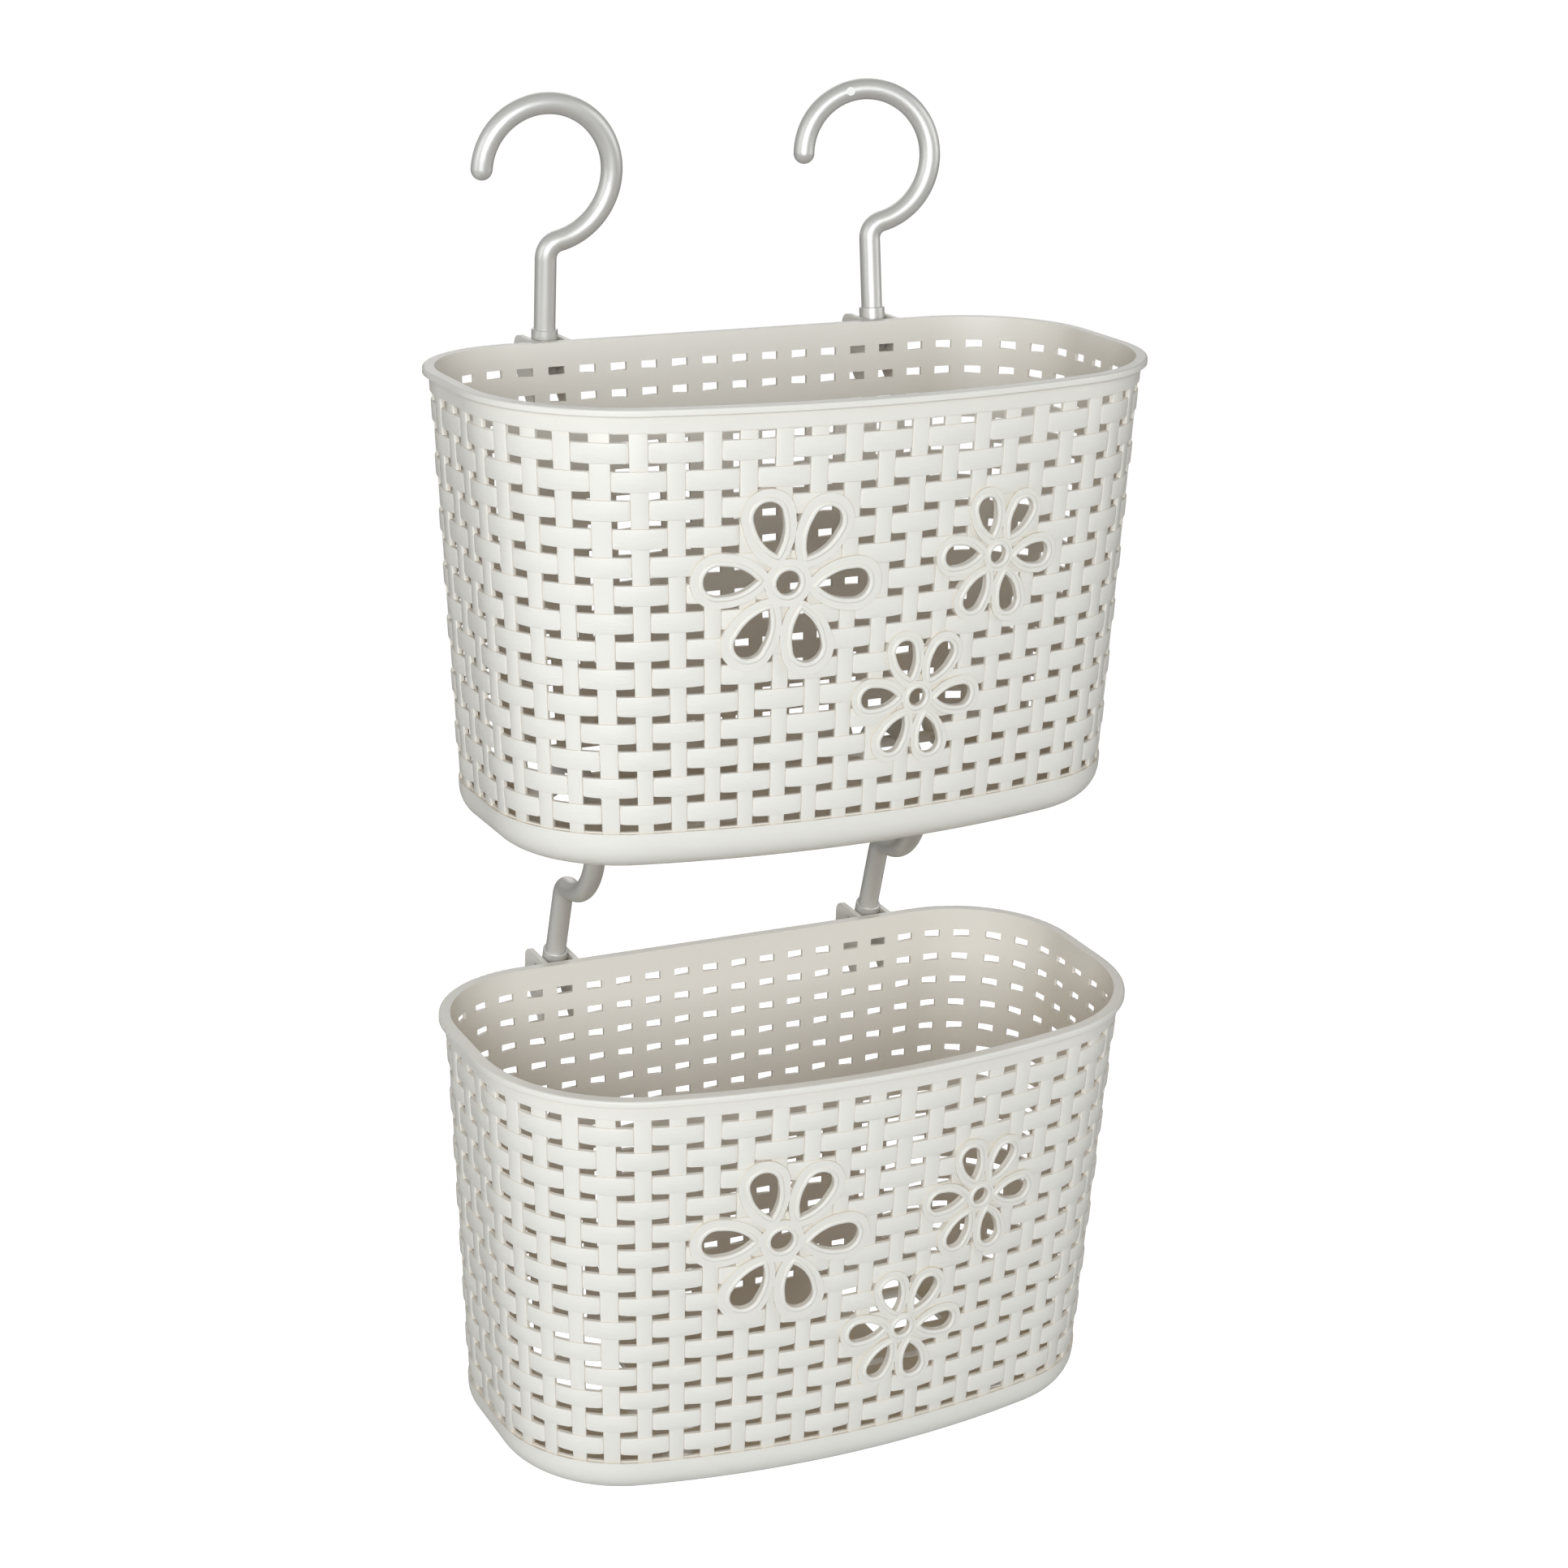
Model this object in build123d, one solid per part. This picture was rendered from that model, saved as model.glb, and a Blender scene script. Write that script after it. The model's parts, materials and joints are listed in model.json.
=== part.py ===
from build123d import *
from math import asin, atan2, cos, degrees, hypot, pi, radians, sin, tan
import os

# Two-tier hanging shower caddy: two identical woven-pattern baskets and four swivel hooks.
# Millimetres. +Z up, -Y towards the user, +X along the rail that the caddy hangs from.
# Origin: middle of the line on which the two upper hook loops bear on the rail, hooks upright.

# ---- basket: plan of the rim, built of tangent arcs (half of it, mirrored about X = 0)
rim_length = 265.0
rim_rear_corner = 46.1
rim_side = 28.2
rim_front_corner = 60.4
rim_bow = 377.0
lip_height = 2.2
lip_overhang = 2.1
lip_round = 0.9

# ---- basket: shell
basket_height = 167.3
wall = 2.2
floor = 2.5
wall_draft = 3.27
base_radius = 12.3
strap_height = 1.2
strap_zone_top = 8.4
strap_zone_foot = 152.4

# ---- basket: rows of openings between the straps
rows = 15
row_pitch = 9.99
first_row = 10.5
hole_width = 6.4
hole_height = 3.0
rear_columns = 18
rear_column_pitch = 12.44
front_columns = 16
front_column_pitch = 12.79
end_columns = 10
seam_strap = 7.2

# ---- basket: six-petal cut-outs on the front (centre X, depth below the rim top)
large_flower = (-35.3, 63.3)
small_flowers = [(47.5, 61.0), (16.8, 110.2)]
# each petal runs from its root to its tip, both at an angle from +X seen from outside
petal_roots = (-10, 53, 113, 172, -127, -61)
petal_tips = (-4, 57, 108, 176, -122, -73)
flower_relief = 0.3
large_reach = 35.3
large_petal_tip = 30.8
large_petal_root = 10.9
large_petal_width = 12.0
large_eye = 9.0
small_reach = 26.2
small_petal_tip = 22.7
small_petal_root = 7.9
small_petal_width = 8.7
small_eye = 6.8

# ---- basket: drain slots in the floor
drain_rows = 5
drain_row_pitch = 17.0
drain_columns = 9
drain_pitch = 20.0
drain_length = 13.0
drain_width = 4.0
drain_middle = 68.0

# ---- hook brackets: two fins on the rear of the basket at each hook
hook_spacing = 136.8
fin_thickness = 2.0
fin_gap = 10.9
fin_reach = 19.0
fin_corner = 4.5
fin_edge_height = 12.0
fin_depth = 35.5
pin_drop = 5.0
pin_diameter = 4.0
pin_clearance = 0.05
pin_end_gap = 0.3

# ---- barrel: carries the hook's foot and tilts on two trunnions
barrel_diameter = 9.8
barrel_rise = 3.3
barrel_foot = 8.0
barrel_edge = 0.25
cup_depth = 4.6
collar_gap = 0.25
lean_clearance = 0.3
stop_lean = 19.25

# ---- hook: round rod with an open loop
rod_diameter = 8.0
loop_radius = 24.7
loop_centre = 61.5
stem_top = 29.6
foot_bend = 6.6
loop_turn = 177.0
neck_diameter = 5.0
head_diameter = 6.8
head_height = 3.0
swivel_clearance = 0.05
shoulder_clearance = 0.05

# ---- rest poses: lean towards the user and swivel from +X towards the user
upper_left_lean = 3.2
upper_left_swivel = 5.0
upper_right_lean = -7.0
upper_right_swivel = 15.0
tier_lean = 17.0
lower_left_swivel = 91.0
lower_right_swivel = 91.0
lower_basket_droop = 1.93

# ---- hanging bars: the lower hooks hang on them inside two windows in the basket's base
bar_diameter = 4.6
bar_clearance = 0.35
window_width = 32.0
window_corner = 1.5
window_clearance = 0.45
window_front_clearance = 4.0

# ---- derived sizes
barrel_radius = barrel_diameter / 2
rod_radius = rod_diameter / 2
loop_inner = loop_radius - rod_radius
lean = radians(stop_lean)
pin_back = lean_clearance + pin_drop * tan(lean) + barrel_radius / cos(lean)
pin_to_loop = loop_centre + pin_drop
seat_height = pin_to_loop + loop_inner
draft = tan(radians(wall_draft))
bow_half_angle = asin((rim_length / 2 - rim_front_corner) / (rim_bow - rim_front_corner))
corner_line = -rim_rear_corner
side_line = corner_line - rim_side
bow_centre = side_line + (rim_bow - rim_front_corner) * cos(bow_half_angle)


# ---- plan of the basket at any inset from the rim's edge (y = 0 is the rim's rear edge)
def arc(centre, radius, start, end):
    def at(angle):
        turn = radians(angle)
        return (centre[0] + radius * cos(turn), centre[1] + radius * sin(turn))
    return ThreePointArc(at(start), at((start + end) / 2), at(end))


def plan(inset):
    half = rim_length / 2 - inset
    rear = rim_rear_corner - inset
    front = rim_front_corner - inset
    bow = degrees(bow_half_angle)
    flat = half - rear
    edges = [
        Line((-flat, -inset), (flat, -inset)),
        arc((flat, corner_line), rear, 90, 0),
        Line((half, corner_line), (half, side_line)),
        arc((half - front, side_line), front, 0, bow - 90),
        arc((0, bow_centre), rim_bow - inset, bow - 90, -90 - bow),
        arc((front - half, side_line), front, -90 - bow, -180),
        Line((-half, side_line), (-half, corner_line)),
        arc((-flat, corner_line), rear, 180, 90),
    ]
    return make_face(edges)


# ---- point on that plan, at a distance from the front centre (+ towards +X), with its outward normal
def half_run(inset):
    flat = rim_length / 2 - rim_rear_corner
    corner = (rim_rear_corner - inset) * pi / 2
    front_corner = (rim_front_corner - inset) * (pi / 2 - bow_half_angle)
    return flat + corner + rim_side + front_corner + (rim_bow - inset) * bow_half_angle


def plan_point(inset, run):
    side = 1 if run >= 0 else -1
    left = abs(run)
    half = rim_length / 2 - inset
    rear = rim_rear_corner - inset
    front = rim_front_corner - inset
    bow = rim_bow - inset
    if left <= bow * bow_half_angle:
        turn = left / bow - pi / 2
        return (side * bow * cos(turn), bow_centre + bow * sin(turn), side * cos(turn), sin(turn))
    left -= bow * bow_half_angle
    if left <= front * (pi / 2 - bow_half_angle):
        turn = left / front + bow_half_angle - pi / 2
        x = half - front + front * cos(turn)
        return (side * x, side_line + front * sin(turn), side * cos(turn), sin(turn))
    left -= front * (pi / 2 - bow_half_angle)
    if left <= rim_side:
        return (side * half, side_line + left, side, 0.0)
    left -= rim_side
    if left <= rear * pi / 2:
        turn = left / rear
        x = half - rear + rear * cos(turn)
        return (side * x, corner_line + rear * sin(turn), side * cos(turn), sin(turn))
    left -= rear * pi / 2
    return (side * (half - rear - left), -inset, 0.0, 1.0)


# ---- columns of openings: share of the half run, 0 at the front centre and 1 at the rear centre
wall_inset = lip_overhang + wall / 2
row_inset = wall_inset + first_row * draft
run_all = half_run(row_inset)
front_shares = [(i + 0.5) * front_column_pitch / run_all for i in range(front_columns // 2)]
rear_shares = [1 - (i + 0.5) * rear_column_pitch / run_all for i in range(rear_columns // 2)]
seam = (hole_width + seam_strap) / run_all
end_start = front_shares[-1] + seam
end_step = (rear_shares[-1] - seam - end_start) / (end_columns - 1)
end_shares = [end_start + i * end_step for i in range(end_columns)]
column_shares = front_shares + end_shares + rear_shares


def wall_frame(run, depth):
    x, y, out_x, out_y = plan_point(wall_inset + depth * draft, run)
    normal = Vector(out_x, out_y, -draft)
    across = Vector(out_y, -out_x, 0) if out_y < 0 else Vector(-out_y, out_x, 0)
    return Plane(origin=(x, y, -depth), x_dir=across, z_dir=normal)


# ---- a petal: a drop whose point is at the origin and whose round end lies on +X
def petal(length, width):
    round_end = width / 2
    end_centre = length - round_end
    waist = end_centre * 0.45
    half_waist = width * 0.36
    turn = radians(68)
    top = (end_centre - round_end * cos(turn) * 0.35, round_end * sin(turn))
    upper = ThreePointArc((0, 0), (waist, half_waist), top)
    lower = ThreePointArc((0, 0), (waist, -half_waist), (top[0], -top[1]))
    cap = ThreePointArc(top, (length, 0), (top[0], -top[1]))
    return make_face([upper, cap, lower])


def flower(reach, tip, root, width, eye, through):
    border = reach - tip
    openings = [Circle(eye / 2)]
    outlines = [Circle(root - border / 2)]
    for root_angle, tip_angle in zip(petal_roots, petal_tips):
        root_x = root * cos(radians(root_angle))
        root_y = root * sin(radians(root_angle))
        along_x = tip * cos(radians(tip_angle)) - root_x
        along_y = tip * sin(radians(tip_angle)) - root_y
        length = hypot(along_x, along_y)
        stand = Pos(root_x, root_y) * Rot(0, 0, degrees(atan2(along_y, along_x)))
        openings.append(stand * petal(length, width))
        outlines.append(stand * Pos(-border, 0) * petal(length + 2 * border, width + 2 * border))
    pad = extrude(Sketch() + outlines, amount=through, both=True)
    cut = extrude(Sketch() + openings, amount=through, both=True)
    return pad, cut


def flower_place(centre):
    depth = centre[1]
    inset = wall_inset + depth * draft
    run = (rim_bow - inset) * asin(centre[0] / (rim_bow - inset))
    return wall_frame(run, depth)


# ---- the layer of the wall between two offsets from its outer face and two depths below the rim
def between(outer, inner, top, foot):
    start = lip_overhang + top * draft
    height = foot - top
    layer = extrude(Pos(0, 0, -top) * plan(start + outer), amount=-height, taper=wall_draft)
    return layer - extrude(Pos(0, 0, -top) * plan(start + inner), amount=-height, taper=wall_draft)


# The bands above and below stand as proud as the straps, which lie in this shallow recess.
def strap_recess():
    return between(-wall, strap_height, strap_zone_top, strap_zone_foot)


# ---- the basket, in its own frame: y = 0 at the rim's rear edge, z = 0 at the rim's top
def make_basket():
    shell = extrude(plan(lip_overhang), amount=-basket_height, taper=wall_draft)
    shell = fillet(shell.edges().group_by(Axis.Z)[0], base_radius)
    inner = extrude(plan(lip_overhang + wall), amount=floor - basket_height, taper=wall_draft)
    inner = fillet(inner.edges().group_by(Axis.Z)[0], base_radius - wall)
    lip = extrude(plan(0), amount=-lip_height)
    lip = fillet(lip.edges().group_by(Axis.Z)[-1], lip_round)
    body = shell + lip - inner - strap_recess()

    # openings between the straps
    cutters = []
    for row in range(rows):
        depth = first_row + row * row_pitch
        run_here = half_run(wall_inset + depth * draft)
        for share in column_shares:
            for side in (-1, 1):
                frame = wall_frame(side * share * run_here, depth)
                cutters.append(frame * Box(hole_width, hole_height, 4 * wall))

    # drain slots in the floor
    for row in range(drain_rows):
        y = -drain_middle + (row - (drain_rows - 1) / 2) * drain_row_pitch
        count = drain_columns - row % 2
        for column in range(count):
            x = (column - (count - 1) / 2) * drain_pitch
            if not near_window(x, y):
                slot = Pos(x, y, -basket_height) * SlotOverall(drain_length, drain_width)
                cutters.append(extrude(slot, amount=2 * floor, both=True))
    body = body - cutters

    # flowers: a raised border around each petal's opening closes what it covers of the rows
    skin = between(-flower_relief, wall, 0, basket_height - base_radius)
    for centre, size in flower_sizes:
        frame = flower_place(centre)
        pad, cut = flower(*size, 4 * wall)
        body = body + (skin & (frame * pad)) - frame * cut

    # windows in the base, each crossed by its hanging bar
    for side in (-1, 1):
        x = side * hook_spacing / 2
        body = body - Pos(x, 0, 0) * window()
        bar = Cylinder(bar_diameter / 2, window_width + 2 * wall, rotation=(0, 90, 0))
        body = body + Pos(x, bar_y, bar_z) * bar

    # brackets for the barrels
    for side in (-1, 1):
        for edge in (-1, 1):
            x = side * hook_spacing / 2 + edge * (fin_gap + fin_thickness) / 2
            body = body + Pos(x, 0, 0) * fin()
        hole = Cylinder(pin_diameter / 2 + pin_clearance, fin_gap + 4 * fin_thickness, rotation=(0, 90, 0))
        body = body - Pos(side * hook_spacing / 2, pin_back, -pin_drop) * hole
    return body


flower_sizes = [(large_flower, (large_reach, large_petal_tip, large_petal_root, large_petal_width, large_eye))]
for small in small_flowers:
    small_size = (small_reach, small_petal_tip, small_petal_root, small_petal_width, small_eye)
    flower_sizes.append((small, small_size))


def near_window(x, y):
    clear_x = (window_width + drain_length) / 2 + 2 * wall
    return abs(abs(x) - hook_spacing / 2) < clear_x and y > window_front - drain_width - wall


def fin():
    root = -lip_overhang - wall / 2
    outer = fin_reach
    foot = root - fin_depth * draft
    side = Polyline(
        (root, 0), (outer, 0), (outer, -fin_edge_height), (foot, -fin_depth), (root, 0))
    face = Plane.YZ * make_face(side)
    plate = extrude(face, amount=fin_thickness / 2, both=True)
    corner = plate.edges().filter_by(Axis.X).sort_by(lambda e: e.center().Y + e.center().Z)[-1]
    return fillet(corner, fin_corner)


# ---- where the lower tier hangs: bar under the loop's inside, in the basket's own frame
tilt = radians(tier_lean)
bar_z = -basket_height + bar_diameter / 2
loop_below_bar = loop_inner - bar_diameter / 2 - bar_clearance
loop_z = bar_z - loop_below_bar
lower_pin_shift = pin_to_loop * sin(tilt)
tier_back = 6.4
bar_y = pin_back - tier_back - lower_pin_shift
tier_drop = -pin_drop - (loop_z - pin_to_loop * cos(tilt))

# the window clears the loop at rest and as the tier swings out
loop_outer = loop_radius + rod_radius
front_reach = (loop_outer ** 2 - (-basket_height - loop_z) ** 2) ** 0.5
window_front = bar_y - front_reach - window_front_clearance
rear_face = -lip_overhang - basket_height * draft
window_top = loop_z + (loop_outer ** 2 - (rear_face - wall - bar_y) ** 2) ** 0.5 + window_clearance


def window():
    front = window_front
    back = wall
    top = window_top
    foot = -basket_height - floor
    block = Pos(0, (front + back) / 2, (top + foot) / 2) * Box(window_width, back - front, top - foot)
    edges = block.edges().filter_by(Axis.Z).sort_by(Axis.Y)[:2]
    return fillet(edges, window_corner)


# ---- barrel, in the pin's frame: the pin's axis is X, the hook's stem is +Z
barrel_top = pin_drop + barrel_rise
neck_top = barrel_top - cup_depth
neck_bottom = -barrel_foot + head_height + collar_gap
stem_bore = rod_diameter / 2 + swivel_clearance
neck_bore = neck_diameter / 2 + swivel_clearance
head_bore = head_diameter / 2 + swivel_clearance


def make_barrel():
    height = barrel_top + barrel_foot
    body = Pos(0, 0, (barrel_top - barrel_foot) / 2) * Cylinder(barrel_radius, height)
    body = chamfer(body.edges().filter_by(GeomType.CIRCLE), barrel_edge)
    trunnion = pin_end_gap + fin_thickness
    inner = barrel_radius - 1.0
    outer = fin_gap / 2 + trunnion - 2 * pin_end_gap
    for side in (-1, 1):
        middle = side * (inner + outer) / 2
        body = body + Pos(middle, 0, 0) * Cylinder(pin_diameter / 2, outer - inner, rotation=(0, 90, 0))
    body = body - Pos(0, 0, neck_top + cup_depth) * Cylinder(stem_bore, 2 * cup_depth)
    body = body - Cylinder(neck_bore, 4 * height)
    head_space = neck_bottom + barrel_foot
    body = body - Pos(0, 0, -barrel_foot) * Cylinder(head_bore, 2 * head_space)
    return body


# ---- hook, in the pin's frame before it swivels: the loop bulges towards +X
def make_hook():
    rise = loop_centre - stem_top
    bend = 2 * atan2(loop_radius, rise)
    gooseneck = rise / sin(bend) - foot_bend
    stem_end = pin_drop + stem_top
    loop_z0 = pin_drop + loop_centre
    stem_foot = neck_top + shoulder_clearance
    stem = Line((0, stem_foot), (0, stem_end))
    first = CenterArc((foot_bend, stem_end), foot_bend, 180, -degrees(bend))
    second = CenterArc(
        (loop_radius - gooseneck, loop_z0), gooseneck, -degrees(bend), degrees(bend))
    third = CenterArc((0, loop_z0), loop_radius, 0, loop_turn)
    wire = Plane.XZ * Wire([stem, first, second, third])
    section = Plane(origin=(0, 0, stem_foot), z_dir=(0, 0, 1)) * Circle(rod_radius)
    rod = sweep(section, path=wire)
    turn = radians(loop_turn)
    tip = (loop_radius * cos(turn), 0, loop_z0 + loop_radius * sin(turn))
    rod = rod + Pos(*tip) * Sphere(rod_radius)
    head_top = neck_bottom - shoulder_clearance
    head_foot = head_top - head_height + collar_gap
    neck_length = stem_foot - head_top
    rod = rod + Pos(0, 0, (stem_foot + head_top) / 2) * Cylinder(neck_diameter / 2, neck_length)
    rod = rod + Pos(0, 0, (head_top + head_foot) / 2) * Cylinder(head_diameter / 2, head_top - head_foot)
    return rod


# ---- assembly
os.makedirs("parts", exist_ok=True)
basket = make_basket()
barrel = make_barrel()
hook = make_hook()

# from the hanging line down to each tier's pins, and from a pin to its basket
upper_pin = Pos(0, 0, -seat_height)
lower_pin = upper_pin * Pos(0, -tier_back, -tier_drop)
to_pin = Pos(0, -pin_back, pin_drop)

solids = {
    "upper_basket": upper_pin * to_pin * basket,
    "lower_basket": lower_pin * Rot(lower_basket_droop, 0, 0) * to_pin * basket,
}
rest = {
    "upper_left": (upper_pin, -1, upper_left_lean, upper_left_swivel),
    "upper_right": (upper_pin, 1, upper_right_lean, upper_right_swivel),
    "lower_left": (lower_pin, -1, tier_lean, lower_left_swivel),
    "lower_right": (lower_pin, 1, tier_lean, lower_right_swivel),
}
for name, (pin, side, forward, swivel) in rest.items():
    stand = pin * Pos(side * hook_spacing / 2, 0, 0) * Rot(forward, 0, 0)
    solids[name + "_barrel"] = stand * barrel
    solids[name + "_hook"] = stand * Rot(0, 0, -swivel) * hook

for name, solid in solids.items():
    solid.label = name
    export_step(solid, "parts/" + name + ".step")
    box = solid.bounding_box()
    print(name, len(solid.solids()), round(solid.volume), box.min, box.max)
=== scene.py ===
import json
from math import asin, atan2, cos, hypot, pi, radians, sin, tan

import bmesh
import bpy
from mathutils import Matrix, Vector


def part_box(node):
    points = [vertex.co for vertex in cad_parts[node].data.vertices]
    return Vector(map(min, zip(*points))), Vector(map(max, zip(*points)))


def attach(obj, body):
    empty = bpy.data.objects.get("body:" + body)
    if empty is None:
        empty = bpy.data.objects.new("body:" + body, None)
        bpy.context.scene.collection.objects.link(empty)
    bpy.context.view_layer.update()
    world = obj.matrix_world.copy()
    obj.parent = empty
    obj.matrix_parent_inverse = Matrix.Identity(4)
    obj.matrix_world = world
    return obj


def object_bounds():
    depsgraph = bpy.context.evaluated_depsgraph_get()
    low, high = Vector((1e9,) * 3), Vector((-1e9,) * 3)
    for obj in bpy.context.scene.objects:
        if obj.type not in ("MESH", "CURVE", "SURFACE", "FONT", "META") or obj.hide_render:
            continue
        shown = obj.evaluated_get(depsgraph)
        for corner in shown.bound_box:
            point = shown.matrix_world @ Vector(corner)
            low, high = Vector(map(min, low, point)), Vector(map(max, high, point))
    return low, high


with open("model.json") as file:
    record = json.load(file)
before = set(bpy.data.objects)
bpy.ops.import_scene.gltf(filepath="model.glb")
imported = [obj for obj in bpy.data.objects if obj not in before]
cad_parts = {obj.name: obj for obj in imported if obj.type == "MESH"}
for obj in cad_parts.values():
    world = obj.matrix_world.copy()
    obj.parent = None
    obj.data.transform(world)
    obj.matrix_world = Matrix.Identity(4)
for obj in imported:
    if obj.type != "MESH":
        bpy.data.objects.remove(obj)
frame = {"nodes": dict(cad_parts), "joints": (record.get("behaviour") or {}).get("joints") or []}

cad_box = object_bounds()

# ---------------------------------------------------------------------------------------------
# Basket moulding: off-white plastic, one shot, used twice. Its wall, bands, rim, flower openings
# and brackets are one solid body each; here both bodies get their satin finish.
# ---------------------------------------------------------------------------------------------
white_plastic = (0.745, 0.725, 0.675)
white_plastic_shade = (0.725, 0.70, 0.65)
# Painted shade: the darker, warmer base colour that light bouncing inside the basket sees.
painted_bounce_shade_colour = (0.66, 0.53, 0.34)


class Wire:
    """A shader socket that can be written in sums."""

    def __init__(self, tree, socket):
        self.tree = tree
        self.socket = socket

    def node(self, kind, settings=None, inputs=None, out=0):
        made = self.tree.nodes.new(kind)
        for key, value in (settings or {}).items():
            if key == "stops":
                ramp = made.color_ramp
                while len(ramp.elements) < len(value):
                    ramp.elements.new(0.5)
                for stop, (place, colour) in zip(ramp.elements, value):
                    stop.position = place
                    stop.color = colour
            else:
                setattr(made, key, value)
        for key, value in (inputs or {}).items():
            if isinstance(value, Wire):
                self.tree.links.new(value.socket, made.inputs[key])
            else:
                made.inputs[key].default_value = value
        return Wire(self.tree, made.outputs[out])

    def sum(self, operation, a, b=0.0):
        return self.node("ShaderNodeMath", {"operation": operation}, {0: a, 1: b})

    def __add__(self, other):
        return self.sum("ADD", self, other)

    def __radd__(self, other):
        return self.sum("ADD", other, self)

    def __sub__(self, other):
        return self.sum("SUBTRACT", self, other)

    def __rsub__(self, other):
        return self.sum("SUBTRACT", other, self)

    def __mul__(self, other):
        return self.sum("MULTIPLY", self, other)

    def __rmul__(self, other):
        return self.sum("MULTIPLY", other, self)

    def blend(self, first, second):
        pair = {"Factor": self, 6: first, 7: second}
        return self.node("ShaderNodeMix", {"data_type": "RGBA"}, pair, 2)


def start_material(name):
    material = bpy.data.materials.new(name)
    material.use_nodes = True
    tree = material.node_tree
    shader = tree.nodes["Principled BSDF"]
    first = Wire(tree, tree.nodes.new("ShaderNodeTexCoord").outputs["Object"])
    return material, shader, first


def paint(thing, finish):
    thing.data.materials.clear()
    thing.data.materials.append(finish)


def rgba(colour):
    return (*colour, 1.0)


def painted_bounce_shade_mask(place):
    """1 for light that has already met the plastic once; such light sees painted shade, a warmer,
    darker base colour, so the inside of the basket looks darker and warmer.
    """
    return place.node("ShaderNodeLightPath", out="Is Diffuse Ray")


def plastic_finish(name, roughness, grain, grain_depth, stretch):
    """Off-white plastic with faint clouds of tone, a grain that roughens and raises it, and painted
    shade: a warmer, darker base colour for light bouncing inside the basket.
    """
    cloud_scale, roughness_spread, grain_strength, refraction = 9.0, 0.08, 0.6, 1.49
    material, shader, place = start_material(name)
    cloud = place.node(
        "ShaderNodeTexNoise", None, {"Vector": place, "Scale": cloud_scale, "Detail": 3.0})
    own_tone = cloud.blend(rgba(white_plastic_shade), rgba(white_plastic))
    # Painted shade: bounce rays see the warmer, darker colour, so the inside of the basket looks
    # darker and warmer.
    tone = painted_bounce_shade_mask(place).blend(own_tone, rgba(painted_bounce_shade_colour))
    place.tree.links.new(tone.socket, shader.inputs["Base Color"])
    drawn = place.node("ShaderNodeMapping", None, {"Vector": place, "Scale": stretch})
    speck = place.node("ShaderNodeTexNoise", None, {"Vector": drawn, "Scale": grain, "Detail": 2.0})
    rough = roughness - roughness_spread / 2 + speck * roughness_spread
    place.tree.links.new(rough.socket, shader.inputs["Roughness"])
    relief = place.node("ShaderNodeBump", None, {
        "Strength": grain_strength, "Distance": grain_depth, "Height": speck})
    place.tree.links.new(relief.socket, shader.inputs["Normal"])
    shader.inputs["IOR"].default_value = refraction
    return material


smooth_plastic = plastic_finish("satin_white_plastic", 0.42, 260.0, 0.00004, (1, 1, 1))
for basket in ("upper_basket", "lower_basket"):
    paint(frame["nodes"][basket], smooth_plastic)

# ---------------------------------------------------------------------------------------------
# Wall of a basket: the plan is drawn of tangent arcs and leans in towards the foot. Straps lie
# in a shallow recess of the wall, between the band under the rim and the band above the foot.
# ---------------------------------------------------------------------------------------------
rim_length = 0.265
rim_rear_corner = 0.0461
rim_side = 0.0282
rim_front_corner = 0.0604
rim_bow = 0.377
wall_inset = 0.0032
draft = tan(radians(3.27))
bow_half_angle = asin((rim_length / 2 - rim_front_corner) / (rim_bow - rim_front_corner))
rim_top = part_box("upper_basket")[1].z
bow_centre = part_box("upper_basket")[0].y + rim_bow
side_line = bow_centre - (rim_bow - rim_front_corner) * cos(bow_half_angle)
corner_line = side_line + rim_side


def half_run(inset):
    """Length of the plan from the middle of the front to the middle of the rear."""
    flat = rim_length / 2 - rim_rear_corner
    corner = (rim_rear_corner - inset) * pi / 2
    front_corner = (rim_front_corner - inset) * (pi / 2 - bow_half_angle)
    return flat + corner + rim_side + front_corner + (rim_bow - inset) * bow_half_angle


def plan_point(inset, run):
    """The plan's point and outward direction, a run from the middle of the front."""
    side = 1 if run >= 0 else -1
    left = abs(run)
    half = rim_length / 2 - inset
    rear = rim_rear_corner - inset
    front = rim_front_corner - inset
    bow = rim_bow - inset
    if left <= bow * bow_half_angle:
        turn = left / bow - pi / 2
        return side * bow * cos(turn), bow_centre + bow * sin(turn), side * cos(turn), sin(turn)
    left -= bow * bow_half_angle
    if left <= front * (pi / 2 - bow_half_angle):
        turn = left / front + bow_half_angle - pi / 2
        x = half - front + front * cos(turn)
        return side * x, side_line + front * sin(turn), side * cos(turn), sin(turn)
    left -= front * (pi / 2 - bow_half_angle)
    if left <= rim_side:
        return side * half, side_line + left, side, 0.0
    left -= rim_side
    if left <= rear * pi / 2:
        turn = left / rear
        x = half - rear + rear * cos(turn)
        return side * x, corner_line + rear * sin(turn), side * cos(turn), sin(turn)
    left -= rear * pi / 2
    return side * (half - rear - left), corner_line + rim_rear_corner - inset, 0.0, 1.0


def wall_point(share, depth, out):
    """A point of the wall: share of the half run, depth below the rim, distance outwards."""
    share = (share + 1) % 2 - 1
    inset = wall_inset + depth * draft
    x, y, out_x, out_y = plan_point(inset, share * half_run(inset))
    return Vector((x + out_x * out, y + out_y * out, rim_top - depth))


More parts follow.
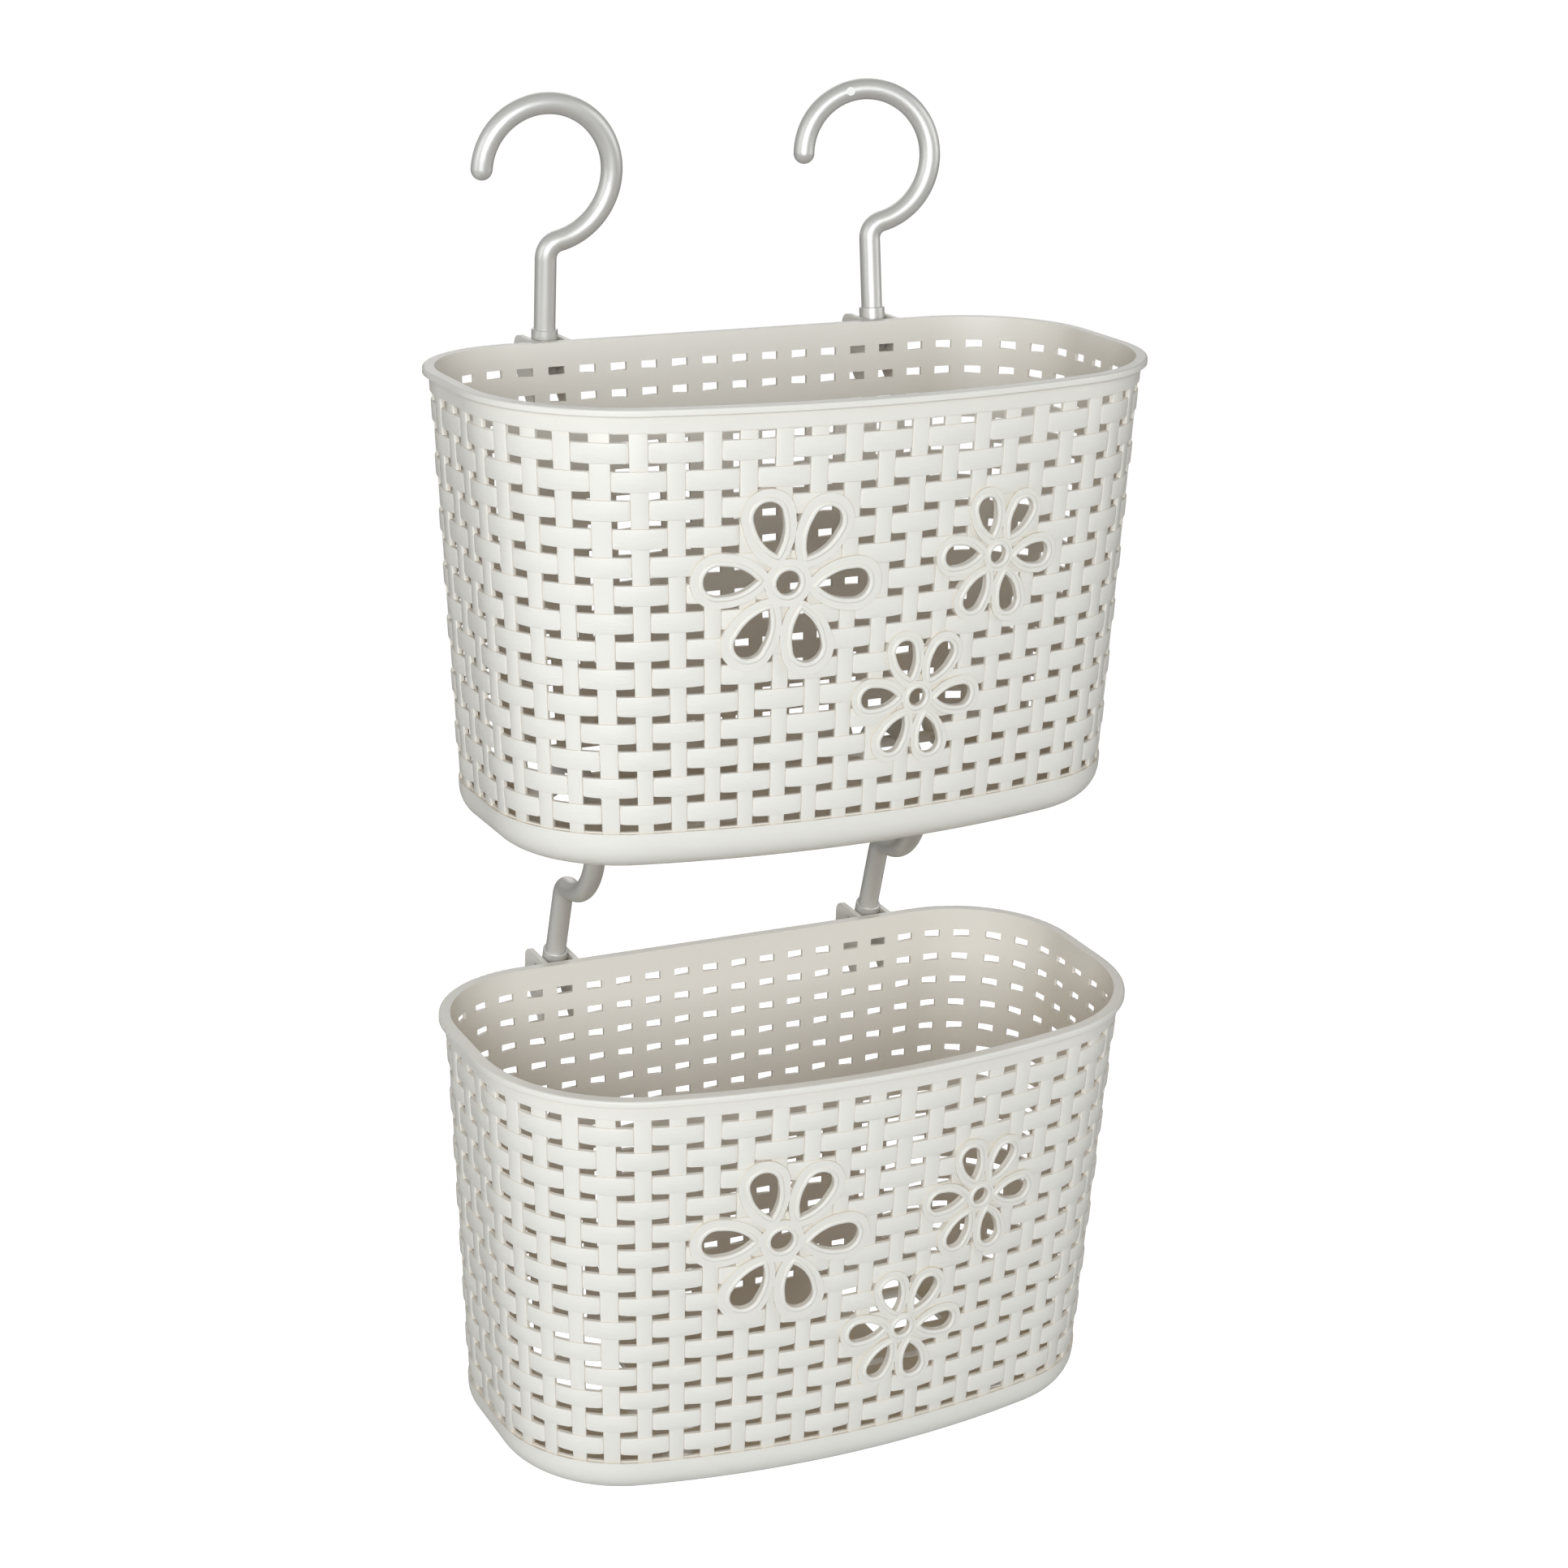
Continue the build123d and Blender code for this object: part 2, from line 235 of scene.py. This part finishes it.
# ---------------------------------------------------------------------------------------------
# Upright straps: 54 flat straps from band to band, moulded with the wall. The columns of openings
# lie between them, evenly on the front, on the rear and round each end.
# ---------------------------------------------------------------------------------------------
first_row = 0.0105
row_pitch = 0.00999
rows = 14
front_columns, front_pitch = 8, 0.01279
rear_columns, rear_pitch = 9, 0.01244
end_columns = 10
hole_width = 0.0064
hole_height = 0.003
seam_strap = 0.0072
run_all = half_run(wall_inset + first_row * draft)
front_shares = [(i + 0.5) * front_pitch / run_all for i in range(front_columns)]
rear_shares = [1 - (i + 0.5) * rear_pitch / run_all for i in range(rear_columns)]
end_start = front_shares[-1] + (hole_width + seam_strap) / run_all
end_finish = rear_shares[-1] - (hole_width + seam_strap) / run_all
end_step = (end_finish - end_start) / (end_columns - 1)
end_shares = [end_start + i * end_step for i in range(end_columns)]
right_columns = front_shares + end_shares + rear_shares[::-1]
columns = [-share for share in right_columns[::-1]] + right_columns
columns.append(columns[0] + 2)
strap_count = len(columns) - 1
upright_low = -0.0002
upright_high = 0.0005
upright_width = 0.0064
upright_crown = 0.00008
band_foot = 0.0084
base_band = 0.1524
tuck = 0.0003
flat_height = 0.001


def select_only(*things):
    bpy.ops.object.select_all(action="DESELECT")
    for thing in things:
        thing.select_set(True)
    bpy.context.view_layer.objects.active = things[0]


def pick_edges(thing, wanted):
    mesh = bmesh.from_edit_mesh(thing.data)
    bpy.ops.mesh.select_all(action="DESELECT")
    bpy.ops.mesh.select_mode(type="EDGE")
    for edge in mesh.edges:
        if wanted(edge.verts[0].co, edge.verts[1].co):
            edge.select_set(True)
    bmesh.update_edit_mesh(thing.data)


def flat_strap(name, length, width, cuts, corner, edge):
    """One strap, flat: X along it, Y across it, Z out of the wall, from 0 to flat_height."""
    bpy.ops.mesh.primitive_cube_add(size=1)
    strap = bpy.context.object
    strap.name = name
    bpy.ops.object.mode_set(mode="EDIT")
    bpy.ops.mesh.select_all(action="SELECT")
    bpy.ops.transform.resize(value=(length, width, flat_height))
    bpy.ops.transform.translate(value=(0, 0, flat_height / 2))
    if corner:
        pick_edges(strap, lambda a, b: abs(a.z - b.z) > flat_height / 2)
        bpy.ops.mesh.bevel(offset=corner, segments=3, affect="EDGES")
    pick_edges(strap, lambda a, b: min(a.z, b.z) > flat_height * 0.9)
    bpy.ops.mesh.bevel(offset=edge, segments=2, affect="EDGES")
    for i in range(1, cuts + 1):
        bpy.ops.mesh.select_all(action="SELECT")
        cut_at = -length / 2 + i * length / (cuts + 1)
        bpy.ops.mesh.bisect(plane_co=(cut_at, 0, 0), plane_no=(1, 0, 0))
    bpy.ops.object.mode_set(mode="OBJECT")
    return strap


def lay_copy(pattern, place):
    """A copy of the flat strap, each point laid on the wall by place(x, y, z)."""
    copy = pattern.copy()
    copy.data = pattern.data.copy()
    bpy.context.collection.objects.link(copy)
    for point in copy.data.vertices:
        point.co = place(*point.co)
    return copy


def join_all(name, parts):
    select_only(*parts)
    bpy.ops.object.join()
    whole = bpy.context.object
    whole.name = name
    bpy.ops.object.mode_set(mode="EDIT")
    bpy.ops.mesh.select_all(action="SELECT")
    bpy.ops.mesh.normals_make_consistent(inside=False)
    bpy.ops.object.mode_set(mode="OBJECT")
    return whole


upright_length = base_band - band_foot + 2 * tuck
upright = flat_strap("upright_strap", upright_length, upright_width, 5, 0, 0.0003)
uprights = []
for index in range(strap_count):
    left_hole, right_hole = columns[index], columns[index + 1]

    def on_upright(x, y, z, left_hole=left_hole, right_hole=right_hole):
        depth = band_foot - tuck + x + upright_length / 2
        half_hole = hole_width / 2 / half_run(wall_inset + depth * draft)
        middle = (left_hole + right_hole) / 2
        reach = (right_hole - left_hole) / 2 - half_hole
        sideways = y / (upright_width / 2)
        crown = upright_crown * (1 - sideways ** 2)
        out = upright_low + (upright_high - upright_low + crown) * z / flat_height
        return wall_point(middle + sideways * reach, depth, out)

    uprights.append(lay_copy(upright, on_upright))
bpy.data.objects.remove(upright)
upright_straps = join_all("upper_basket_upright_straps", uprights)

# ---------------------------------------------------------------------------------------------
# Crosswise straps: each shows where it rises over every second upright strap and dives beside
# the next one, so the rows alternate as in plain weaving. Their faces have a brushed grain.
# ---------------------------------------------------------------------------------------------
across_half = (row_pitch - hole_height) / 2
across_foot = 0.0004
across_crest = 0.001
across_length = 0.0192
crest_swell = 0.05
across = flat_strap("across_strap", across_length, 2 * across_half, 7, 0.0011, 0.00035)
crossings = []
for row in range(rows):
    row_depth = first_row + (row + 0.5) * row_pitch
    for index in range(strap_count):
        if (row + index) % 2 == 1:
            continue
        left_hole, right_hole = columns[index], columns[index + 1]

        def on_crossing(x, y, z, left_hole=left_hole, right_hole=right_hole, row_depth=row_depth):
            along = x / (across_length / 2)
            rise = cos(along * pi / 2)
            depth = row_depth - y * (1 + crest_swell * rise)
            half_hole = hole_width / 2 / half_run(wall_inset + depth * draft)
            middle = (left_hole + right_hole) / 2
            reach = (right_hole - left_hole) / 2 + half_hole
            top = across_foot + (across_crest - across_foot) * rise
            out = upright_low + (top - upright_low) * z / flat_height
            return wall_point(middle + along * reach, depth, out)

        crossings.append(lay_copy(across, on_crossing))
bpy.data.objects.remove(across)
across_straps = join_all("upper_basket_across_straps", crossings)

brushed_plastic = plastic_finish("brushed_white_plastic", 0.5, 900.0, 0.0002, (0.35, 0.35, 1.6))

# ---------------------------------------------------------------------------------------------
# Flower openings: three six-petal flowers cut through the front. The straps end under the flat
# border round each opening, and a rounded bead, part of the same moulding, rims the opening.
# ---------------------------------------------------------------------------------------------
petal_roots = (-10, 53, 113, 172, -127, -61)
petal_tips = (-4, 57, 108, 176, -122, -73)
# Each flower's petal tip, petal root, petal width and eye; then its place and its border.
large_flower = (0.0308, 0.0109, 0.0120, 0.0090)
small_flower = (0.0227, 0.0079, 0.0087, 0.0068)
flowers = [
    (-0.0353, 0.0633, large_flower, 0.0045),
    (0.0475, 0.0610, small_flower, 0.0035),
    (0.0168, 0.1102, small_flower, 0.0035),
]
border_cleared = 0.45
cutter_reach = 0.006
bead_radius = 0.001
bead_margin = 0.0008
bead_rise = 0.001


def arc_points(start, middle, end, count=16):
    """Points on the arc that runs from the start through the middle to just before the end."""
    (ax, ay), (bx, by), (cx, cy) = start, middle, end
    a, b, c = ax * ax + ay * ay, bx * bx + by * by, cx * cx + cy * cy
    twice = 2 * (ax * (by - cy) + bx * (cy - ay) + cx * (ay - by))
    x = (a * (by - cy) + b * (cy - ay) + c * (ay - by)) / twice
    y = (a * (cx - bx) + b * (ax - cx) + c * (bx - ax)) / twice
    first = atan2(ay - y, ax - x)
    via = (atan2(by - y, bx - x) - first) % (2 * pi)
    turn = (atan2(cy - y, cx - x) - first) % (2 * pi)
    turn -= 2 * pi if via > turn else 0
    size = hypot(ax - x, ay - y)
    angles = [first + turn * i / count for i in range(count)]
    return [(x + size * cos(angle), y + size * sin(angle)) for angle in angles]


def petal_outline(root_angle, tip_angle, tip, root, width, margin):
    """The drop between a root point and a tip point, widened by the margin."""
    waist_along, waist_across = 0.45, 0.36
    shoulder, shoulder_set = radians(68), 0.35
    root_x, root_y = root * cos(radians(root_angle)), root * sin(radians(root_angle))
    along_x = tip * cos(radians(tip_angle)) - root_x
    along_y = tip * sin(radians(tip_angle)) - root_y
    length = hypot(along_x, along_y)
    long, wide = length + 2 * margin, width + 2 * margin
    end_centre = long - wide / 2
    waist = (end_centre * waist_along, wide * waist_across)
    top = (end_centre - wide / 2 * cos(shoulder) * shoulder_set, wide / 2 * sin(shoulder))
    drop = arc_points((0, 0), waist, top)
    drop += arc_points(top, (long, 0), (top[0], -top[1]))
    drop += arc_points((top[0], -top[1]), (waist[0], -waist[1]), (0, 0))
    turn_x, turn_y = along_x / length, along_y / length
    placed = []
    for x, y in drop:
        x -= margin
        placed.append((root_x + x * turn_x - y * turn_y, root_y + x * turn_y + y * turn_x))
    return placed


def flower_outlines(size, margin):
    """The round eye and the six petals, all widened by the margin."""
    tip, root, width, eye = size
    reach = eye / 2 + margin
    eye_turns = [pi * i / 24 for i in range(48)]
    outlines = [[(reach * cos(turn), reach * sin(turn)) for turn in eye_turns]]
    for root_angle, tip_angle in zip(petal_roots, petal_tips):
        outlines.append(petal_outline(root_angle, tip_angle, tip, root, width, margin))
    return outlines


def flower_seat(across_x, depth):
    """A flower's centre on the wall and its level, upward and outward directions."""
    bow = rim_bow - wall_inset - depth * draft
    share = bow * asin(across_x / bow) / half_run(wall_inset + depth * draft)
    centre = wall_point(share, depth, 0)
    out = wall_point(share, depth, 1) - centre
    out.z = -draft
    out.normalize()
    level = Vector((-out.y, out.x, 0)).normalized()
    return centre, level, out.cross(level), out


def ring(points):
    """A closed loop of edges through the points."""
    bpy.ops.mesh.primitive_circle_add(vertices=len(points), radius=1, fill_type="NOTHING")
    outline = bpy.context.object
    for vertex, point in zip(outline.data.vertices, points):
        vertex.co = point
    return outline


beads = []
for across_x, depth, size, border in flowers:
    centre, level, upward, out = flower_seat(across_x, depth)
    for points in flower_outlines(size, border * border_cleared):
        tool = ring([centre + x * level + y * upward - cutter_reach * out for x, y in points])
        bpy.ops.object.mode_set(mode="EDIT")
        bpy.ops.mesh.select_all(action="SELECT")
        bpy.ops.mesh.edge_face_add()
        bpy.ops.mesh.extrude_region_move(TRANSFORM_OT_translate={"value": 2 * cutter_reach * out})
        bpy.ops.mesh.select_all(action="SELECT")
        bpy.ops.mesh.normals_make_consistent(inside=False)
        bpy.ops.object.mode_set(mode="OBJECT")
        for straps in (upright_straps, across_straps):
            select_only(straps)
            cut = straps.modifiers.new("petal", "BOOLEAN")
            cut.operation = "DIFFERENCE"
            cut.solver = "EXACT"
            cut.object = tool
            bpy.ops.object.modifier_apply(modifier="petal")
        bpy.data.objects.remove(tool)
    for points in flower_outlines(size, bead_margin):
        laid = []
        for x, y in points:
            spot = centre + x * level + y * upward
            for _ in range(3):
                bead_bow = rim_bow - wall_inset - (rim_top - spot.z) * draft + bead_rise
                spot += out * (bead_bow - hypot(spot.x, spot.y - bow_centre))
            laid.append(spot)
        bead = ring(laid)
        bpy.ops.object.convert(target="CURVE")
        bead.data.bevel_depth = bead_radius
        bead.data.bevel_resolution = 3
        bpy.ops.object.convert(target="MESH")
        beads.append(bpy.context.object)
petal_beads = join_all("upper_basket_petal_beads", beads)

paint(upright_straps, smooth_plastic)
paint(across_straps, brushed_plastic)
paint(petal_beads, smooth_plastic)
for moulded in (upright_straps, across_straps, petal_beads):
    select_only(moulded)
    bpy.ops.object.shade_smooth_by_angle(angle=radians(40))

# ---------------------------------------------------------------------------------------------
# Parting line: a hair-thin ridge down the left front corner, left by the mould. It crosses the
# rim's lip and the band under it.
# ---------------------------------------------------------------------------------------------
corner_bow = (rim_bow - wall_inset) * bow_half_angle
corner_run = corner_bow + (rim_front_corner - wall_inset) * (pi / 4 - bow_half_angle)
parting_share = -corner_run / half_run(wall_inset)
ridge_width = 0.00022
ridge_height = 0.00028
ridge_sunk = 0.0002
ridges = []
for depth_from, depth_to, face in ((0.0009, 0.0021, 0.0032), (0.0023, 0.0083, 0.0011)):
    flat_ridge = flat_strap("ridge", depth_to - depth_from, ridge_width, 2, 0, 0.00002)

    def on_ridge(x, y, z, middle=(depth_from + depth_to) / 2, face=face):
        depth = middle + x
        share = parting_share + y / half_run(wall_inset + depth * draft)
        return wall_point(share, depth, face - ridge_sunk + ridge_height * z / flat_height)

    ridges.append(lay_copy(flat_ridge, on_ridge))
    bpy.data.objects.remove(flat_ridge)
parting_line = join_all("upper_basket_parting_line", ridges)
paint(parting_line, smooth_plastic)

# ---------------------------------------------------------------------------------------------
# Lower basket's straps, beads and parting line: the same moulding once more, hung from its own
# pins and drooping a little at the front.
# ---------------------------------------------------------------------------------------------
lower_droop = radians(1.93)
hinge = {joint["name"]: joint for joint in frame["joints"]}
upper_pin = Vector((0, *hinge["upper_left_tilt"]["pos_m"][1:]))
lower_pin = Vector((0, *hinge["lower_basket_tilt"]["pos_m"][1:]))
to_lower = (
    Matrix.Translation(lower_pin)
    @ Matrix.Rotation(lower_droop, 4, "X")
    @ Matrix.Translation(-upper_pin))
for moulded in (upright_straps, across_straps, petal_beads, parting_line):
    copy = moulded.copy()
    copy.data = moulded.data.copy()
    copy.name = moulded.name.replace("upper", "lower")
    bpy.context.collection.objects.link(copy)
    copy.data.transform(to_lower)
    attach(moulded, "upper_basket")
    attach(copy, "lower_basket")

# ---------------------------------------------------------------------------------------------
# Hooks and barrels: round rod bent to an open loop, with a foot that turns in a short barrel.
# Both are moulded in silver-grey plastic with a satin, slightly pearly surface.
# ---------------------------------------------------------------------------------------------
silver = (0.62, 0.61, 0.585)
silver_shade = (0.56, 0.55, 0.525)
silver_finish, shader, place = start_material("satin_silver_plastic")
cloud = place.node("ShaderNodeTexNoise", None, {"Vector": place, "Scale": 40.0, "Detail": 4.0})
tone = cloud.blend(rgba(silver_shade), rgba(silver))
place.tree.links.new(tone.socket, shader.inputs["Base Color"])
flake = place.node("ShaderNodeTexNoise", None, {"Vector": place, "Scale": 1800.0, "Detail": 1.0})
rough = 0.34 + flake * 0.12
place.tree.links.new(rough.socket, shader.inputs["Roughness"])
shader.inputs["Metallic"].default_value = 0.4
relief = place.node("ShaderNodeBump", None, {"Strength": 0.25, "Distance": 0.00002, "Height": flake})
place.tree.links.new(relief.socket, shader.inputs["Normal"])
for name, thing in frame["nodes"].items():
    if name.endswith("_hook") or name.endswith("_barrel"):
        paint(thing, silver_finish)

# ---------------------------------------------------------------------------------------------
# Gate mark: the round scar where the plastic entered the mould, on the flank of the upper right
# hook's loop that faces the user. A flat disc, moulded with the rod.
# ---------------------------------------------------------------------------------------------
right_lean, right_swivel, gate_angle = radians(-7), radians(15), radians(105)
gate_radius, gate_height = 0.0018, 0.0006
loop_radius, loop_above_pin, rod_flank = 0.0247, 0.0665, -0.0037
bpy.ops.mesh.primitive_cylinder_add(vertices=32, radius=gate_radius, depth=gate_height)
gate_mark = bpy.context.object
gate_mark.name = "upper_right_hook_gate_mark"
bpy.ops.object.mode_set(mode="EDIT")
pick_edges(gate_mark, lambda a, b: min(a.z, b.z) > gate_height / 3)
bpy.ops.mesh.bevel(offset=0.00015, segments=2, affect="EDGES")
bpy.ops.object.mode_set(mode="OBJECT")
gate_across = loop_radius * cos(gate_angle)
gate_above = loop_above_pin + loop_radius * sin(gate_angle)
gate_mark.data.transform(
    Matrix.Translation(Vector(hinge["upper_right_tilt"]["pos_m"]))
    @ Matrix.Rotation(right_lean, 4, "X")
    @ Matrix.Rotation(-right_swivel, 4, "Z")
    @ Matrix.Translation((gate_across, rod_flank, gate_above))
    @ Matrix.Rotation(pi / 2, 4, "X"))
paint(gate_mark, silver_finish)
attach(gate_mark, "upper_right_hook")

# ---------------------------------------------------------------------------------------------
# Studio: a pale floor far below the hanging caddy, white all round, one broad soft lamp in front
# and above, and weaker ones on the right, on the left and behind.
# ---------------------------------------------------------------------------------------------
floor_below = 0.45
bpy.ops.mesh.primitive_plane_add(size=30, location=(0, 0, cad_box[0].z - floor_below))
floor = bpy.context.object
floor.name = "studio_floor"
floor_paint, shader, place = start_material("pale_floor")
shader.inputs["Base Color"].default_value = (0.6, 0.6, 0.6, 1)
shader.inputs["Roughness"].default_value = 0.9
seen = place.node("ShaderNodeLightPath").blend((0, 0, 0, 1), (1, 1, 1, 1))
place.tree.links.new(seen.socket, shader.inputs["Emission Color"])
shader.inputs["Emission Strength"].default_value = 0.95
paint(floor, floor_paint)

world = bpy.data.worlds.new("studio_world")
bpy.context.scene.world = world
world.use_nodes = True
backdrop = world.node_tree.nodes["Background"]
outside = Wire(world.node_tree, None)
mirrored = outside.node("ShaderNodeLightPath", out="Is Glossy Ray")
looked_at = outside.node("ShaderNodeLightPath", out="Is Camera Ray")
dim = mirrored.blend((0.085, 0.075, 0.06, 1), (0.42, 0.42, 0.41, 1))
around = looked_at.blend(dim, (1, 1, 1, 1))
world.node_tree.links.new(around.socket, backdrop.inputs["Color"])


def soft_lamp(name, place, aim, size, power, colour):
    data = bpy.data.lights.new(name, "AREA")
    data.shape = "RECTANGLE"
    data.size = size[0]
    data.size_y = size[1]
    data.energy = power
    data.color = colour
    lamp = bpy.data.objects.new(name, data)
    bpy.context.collection.objects.link(lamp)
    lamp.location = place
    lamp.rotation_euler = (Vector(aim) - Vector(place)).to_track_quat("-Z", "Y").to_euler()


middle = (cad_box[0] + cad_box[1]) / 2
soft_lamp("key_lamp", (-0.9, -1.9, 0.35), middle, (1.6, 1.0), 42, (0.93, 0.97, 1.0))
soft_lamp("right_lamp", (1.8, -1.0, 0.5), middle, (1.2, 1.6), 14, (0.95, 0.98, 1.0))
soft_lamp("left_lamp", (-1.9, -0.2, 0.3), middle, (1.0, 1.6), 11, (0.95, 0.98, 1.0))
soft_lamp("back_lamp", (0.7, 1.9, 0.8), middle, (1.4, 1.4), 11, (1.0, 1.0, 1.0))

# ---------------------------------------------------------------------------------------------
# Camera: in front, to the left and above, level with the upper basket's hooks.
# ---------------------------------------------------------------------------------------------
turn_left, look_down, roll = 0.4521, 0.3085, 0.0174
ahead = Vector((sin(turn_left) * cos(look_down), cos(turn_left) * cos(look_down), -sin(look_down)))
right = ahead.cross(Vector((0, 0, 1))).normalized()
above = right.cross(ahead)
tilted_right = cos(roll) * right + sin(roll) * above
tilted_up = cos(roll) * above - sin(roll) * right
stand = Matrix((tilted_right, tilted_up, -ahead)).transposed().to_4x4()
stand.translation = (-0.5196, -1.1392, 0.1349)
lens_data = bpy.data.cameras.new("camera")
lens_data.sensor_width = 36
lens_data.lens = 76.168
camera = bpy.data.objects.new("camera", lens_data)
bpy.context.collection.objects.link(camera)
camera.matrix_world = stand
bpy.context.scene.camera = camera
bpy.context.scene.view_settings.view_transform = "Standard"
